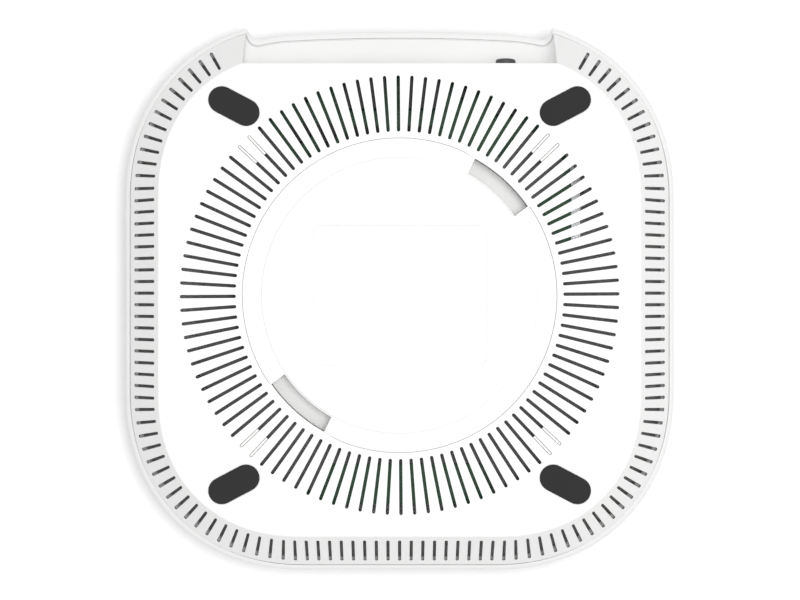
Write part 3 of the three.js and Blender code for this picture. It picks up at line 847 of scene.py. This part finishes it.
def turned_part(name, profile, x, z, slot, body, replaces, steps=64):
    """A round part whose axis runs along Y, from (radius, y) pairs."""
    surface = Surface()
    rows = [
        [(x + r * math.cos(a), y, z + r * math.sin(a)) for a in np.linspace(0, 2 * math.pi, steps + 1)[:-1]]
        for r, y in profile
    ]
    made = surface.grid(rows, closed=True)
    for end in (made[0], made[-1]):
        surface.face(end)
    return surface.finish(name, slot, body, replaces)


def make_small_pieces():
    make_domed(
        "rating_label_fine", label_loop(0.0), -0.2, 0.0, "label_film", 0.05, replaces=["rating_label"]
    )
    for i, (sx, sy) in enumerate(((1, 1), (-1, 1), (-1, -1), (1, -1))):
        name = f"foot_{i + 1}"
        make_domed(name + "_fine", foot_loop(sx, sy), -0.9, 1.5, "dark_rubber", 0.8, 0.15, replaces=[name])
    front = BAY_WALL_Y + 2.9
    crown = 0.35
    round_off = 1.0
    button = [(5.2, 88.7), (5.2, 90.6), (4.05, 90.6), (4.05, front - crown - round_off)]
    for k in range(1, 7):
        turn = math.pi / 2 * k / 6
        across, out = 1 - math.cos(turn), 1 - math.sin(turn)
        button.append((4.05 - round_off * across, front - crown - round_off * out))
    button += [(r, front - crown * (r / 3.05) ** 2) for r in (2.4, 1.6, 0.8, 0.2)]
    turned_part(
        "power_button_fine", button, POWER_X, PORT_Z, "dark_button", "power_button", ["power_button"]
    )


# ---- materials -------------------------------------------------------------------------------

def new_material(name, color, roughness, metallic=0.0, **settings):
    material = bpy.data.materials.new(name)
    material.use_nodes = True
    shader = material.node_tree.nodes["Principled BSDF"]
    shader.inputs["Base Color"].default_value = (*color, 1.0)
    shader.inputs["Roughness"].default_value = roughness
    shader.inputs["Metallic"].default_value = metallic
    for key, value in settings.items():
        shader.inputs[key.replace("_", " ")].default_value = value
    return material


def add_noise(material, scale, detail=3.0, rough_range=None, tint=None, bump=None, stretch=(1, 1, 1)):
    """Breaks up a plain finish with noise in object space: roughness, a second colour, a fine relief."""
    nodes, links = material.node_tree.nodes, material.node_tree.links
    shader = nodes["Principled BSDF"]
    place = nodes.new("ShaderNodeTexCoord")
    mapping = nodes.new("ShaderNodeMapping")
    mapping.inputs["Scale"].default_value = stretch
    noise = nodes.new("ShaderNodeTexNoise")
    noise.inputs["Scale"].default_value = scale
    noise.inputs["Detail"].default_value = detail
    links.new(place.outputs["Object"], mapping.inputs["Vector"])
    links.new(mapping.outputs["Vector"], noise.inputs["Vector"])
    if rough_range:
        ramp = nodes.new("ShaderNodeMapRange")
        ramp.inputs["To Min"].default_value, ramp.inputs["To Max"].default_value = rough_range
        links.new(noise.outputs["Fac"], ramp.inputs["Value"])
        links.new(ramp.outputs["Result"], shader.inputs["Roughness"])
    if tint:
        mix = nodes.new("ShaderNodeMix")
        mix.data_type = "RGBA"
        mix.inputs["A"].default_value = shader.inputs["Base Color"].default_value
        mix.inputs["B"].default_value = (*tint, 1.0)
        links.new(noise.outputs["Fac"], mix.inputs["Factor"])
        links.new(mix.outputs["Result"], shader.inputs["Base Color"])
    if bump:
        strength, distance = bump
        relief = nodes.new("ShaderNodeBump")
        relief.inputs["Strength"].default_value = strength
        relief.inputs["Distance"].default_value = distance
        links.new(noise.outputs["Fac"], relief.inputs["Height"])
        links.new(relief.outputs["Normal"], shader.inputs["Normal"])
    return material


def make_materials():
    for plain in list(bpy.data.materials):
        bpy.data.materials.remove(plain)
    shell = new_material("white_shell", (0.78, 0.78, 0.775), 0.5, Specular_IOR_Level=0.45)
    add_noise(shell, 2600, 2, (0.46, 0.58), (0.8, 0.8, 0.795), (0.12, 0.00006))
    label = new_material("label_film", (0.8, 0.8, 0.8), 0.45, Specular_IOR_Level=0.45)
    add_noise(label, 900, 2, (0.42, 0.5), None, (0.04, 0.00003))
    rubber = new_material("dark_rubber", (0.017, 0.017, 0.0175), 0.85, Specular_IOR_Level=0.3)
    add_noise(rubber, 1800, 4, (0.78, 0.92), (0.022, 0.022, 0.0225), (0.25, 0.0001))
    steel = new_material("steel", (0.5, 0.51, 0.52), 0.35, 1.0)
    add_noise(steel, 1500, 2, (0.28, 0.42))
    dark = new_material("dark_aluminium", (0.17, 0.17, 0.175), 0.55, 0.3)
    add_noise(dark, 700, 3, (0.5, 0.65), (0.2, 0.2, 0.205), (0.08, 0.00005))
    board = new_material("green_board", (0.018, 0.16, 0.055), 0.42)
    add_noise(board, 320, 4, (0.36, 0.5), (0.035, 0.22, 0.085), (0.1, 0.00004), (1, 0.15, 1))
    bare = new_material("bare_aluminium", (0.6, 0.61, 0.62), 0.4, 1.0)
    add_noise(bare, 500, 2, (0.34, 0.48), None, None, (1, 30, 1))
    tin = new_material("tinned_steel", (0.56, 0.57, 0.58), 0.32, 1.0)
    add_noise(tin, 700, 2, (0.28, 0.4))
    pad = new_material("gap_pad", (0.36, 0.29, 0.3), 0.85)
    add_noise(pad, 900, 3, (0.8, 0.95), None, (0.2, 0.0001))
    clear = new_material("clear_plastic", (0.92, 0.94, 0.95), 0.25, Transmission_Weight=0.6, IOR=1.49)
    black = new_material("black_plastic", (0.022, 0.022, 0.024), 0.5)
    add_noise(black, 1500, 3, (0.44, 0.6), None, (0.12, 0.00005))
    button = new_material("dark_button", (0.05, 0.05, 0.053), 0.5)
    add_noise(button, 2000, 3, (0.44, 0.6), None, (0.15, 0.00005))
    gold = new_material("gold_plate", (0.83, 0.62, 0.24), 0.25, 1.0)
    made = (shell, label, rubber, steel, dark, board, bare, tin, pad, clear, black, button, gold)
    return {m.name: m for m in made}


def dress_frame():
    """Gives the CAD pieces that stay their materials and softened edges."""
    slots = {row["node"]: row["material_slot"] for row in frame["record"]["subparts"]}
    for name, obj in frame["nodes"].items():
        obj.data.materials.clear()
        obj.data.materials.append(MATERIALS[slots[name]])
        if obj.hide_render:
            continue
        soften = obj.modifiers.new("soft_edges", "BEVEL")
        soften.width = 0.15 * MM
        soften.segments = 2
        soften.limit_method = "ANGLE"
        soften.angle_limit = math.radians(40)


# ---- stage -----------------------------------------------------------------------------------

SENSOR = 36.0
LENS = 137.3715
LENS_SHIFT = (0.0005, -0.0059375)
DISTANCE = 1.225
# Brightness of the sky at the horizon and overhead, and the one soft lamp: place, size and power.
SKY = (0.52, 0.96)
KEY_LIGHT = ((0.28, 0.05, 2.1), 1.0, 24.0)


def make_camera():
    data = bpy.data.cameras.new("camera")
    data.sensor_width = SENSOR
    data.lens = LENS
    data.shift_x, data.shift_y = LENS_SHIFT
    data.clip_start = 0.05
    data.clip_end = 20.0
    camera = bpy.data.objects.new("camera", data)
    camera.location = (0.0, 0.0, DISTANCE)
    bpy.context.scene.collection.objects.link(camera)
    bpy.context.scene.camera = camera


def add_light(name, place, size, power, target=(0.0, 0.0, -0.02)):
    data = bpy.data.lights.new(name, "AREA")
    data.shape = "DISK"
    data.size = size
    data.energy = power
    lamp = bpy.data.objects.new(name, data)
    lamp.location = place
    lamp.rotation_euler = (Vector(target) - Vector(place)).to_track_quat("-Z", "Y").to_euler()
    bpy.context.scene.collection.objects.link(lamp)


def make_stage():
    bpy.ops.mesh.primitive_plane_add(size=8.0, location=(0, 0, FACE_Z * MM - 0.0005))
    floor = bpy.context.object
    floor.name = "floor"
    floor.data.materials.append(new_material("pale_floor", (0.86, 0.86, 0.86), 0.9))
    world = bpy.data.worlds.new("world")
    bpy.context.scene.world = world
    world.use_nodes = True
    nodes, links = world.node_tree.nodes, world.node_tree.links
    background = nodes["Background"]
    background.inputs["Color"].default_value = (1.0, 1.0, 1.0, 1.0)
    direction = nodes.new("ShaderNodeTexCoord")
    parts = nodes.new("ShaderNodeSeparateXYZ")
    ramp = nodes.new("ShaderNodeMapRange")
    ramp.inputs["To Min"].default_value, ramp.inputs["To Max"].default_value = SKY
    links.new(direction.outputs["Generated"], parts.inputs["Vector"])
    links.new(parts.outputs["Z"], ramp.inputs["Value"])
    links.new(ramp.outputs["Result"], background.inputs["Strength"])
    add_light("key", *KEY_LIGHT)
    scene = bpy.context.scene
    scene.view_settings.view_transform = "Standard"
    scene.view_settings.look = "None"


MATERIALS = make_materials()
make_housing()
make_cover()
make_small_pieces()
dress_frame()
make_stage()
make_camera()
